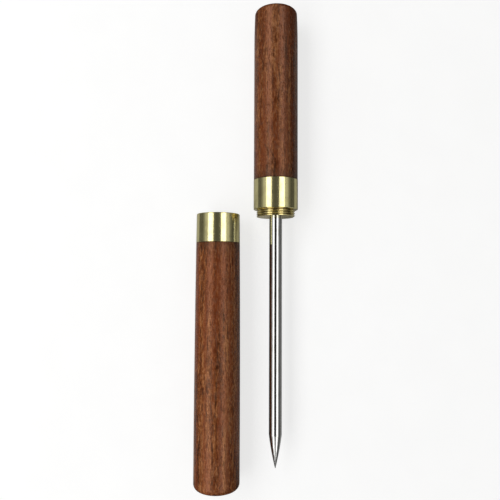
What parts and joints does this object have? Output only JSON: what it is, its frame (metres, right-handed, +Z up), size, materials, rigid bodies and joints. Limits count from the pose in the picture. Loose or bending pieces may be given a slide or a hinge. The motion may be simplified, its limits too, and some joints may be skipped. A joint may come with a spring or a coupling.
{
  "type": "scratch awl",
  "caption": "Pocket scratch awl, open: turned wooden handle with brass ferrule, threaded boss and round steel spike, beside the hollow wooden sheath that screws over the spike.",
  "frame": {"origin": "on the surface that both halves lie on, at the middle of the ground they cover", "axes": "+Y along the awl from its point to the handle's butt, +Z up, and the sheath on the -X side"},
  "size_m": [0.0468, 0.2176, 0.0208],
  "materials": {
    "handle_wood": "red-brown hardwood with straight fine grain, oiled and rubbed to a satin",
    "sheath_wood": "the same red-brown hardwood as the handle, oiled and rubbed to a satin",
    "ferrule_brass": "pale brass, turned and polished, with fine lines round it",
    "thread_brass": "yellow brass, as the thread was cut",
    "spike_steel": "bright ground steel rod, polished along its length"
  },
  "bodies": {
    "handle": {"handle_grip": "handle_wood", "handle_ferrule": "ferrule_brass", "threaded_plug": "thread_brass", "spike": "spike_steel"},
    "sheath": {"sheath_body": "sheath_wood", "sheath_ferrule": "ferrule_brass"}
  },
  "joints": [
    {"name": "sheath_slide", "type": "slide", "parent": "handle", "child": "sheath", "axis": [0, -1, 0], "range_m": [0, 0.118]}
  ]
}
